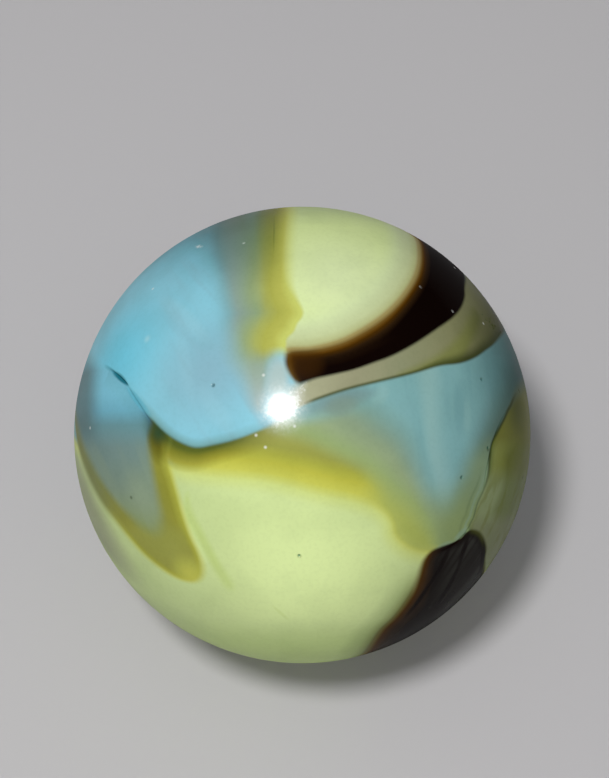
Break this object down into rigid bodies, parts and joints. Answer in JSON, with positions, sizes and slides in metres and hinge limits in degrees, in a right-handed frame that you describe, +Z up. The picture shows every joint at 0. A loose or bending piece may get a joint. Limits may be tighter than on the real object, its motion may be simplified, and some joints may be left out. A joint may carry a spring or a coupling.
{
  "type": "glass marble",
  "caption": "Round swirled glass marble, smooth all over, that rolls freely on a floor or board and is flicked in games.",
  "frame": {"origin": "the ball's lowest point, where it touches the surface that it lies on", "axes": "+Z up through the ball's middle; the camera side with the fold on its left faces -Y and up"},
  "size_m": [0.016, 0.016, 0.016],
  "materials": {
    "swirl_glass": "gloss"
  },
  "bodies": {
    "root": {"marble": "swirl_glass"}
  },
  "joints": []
}
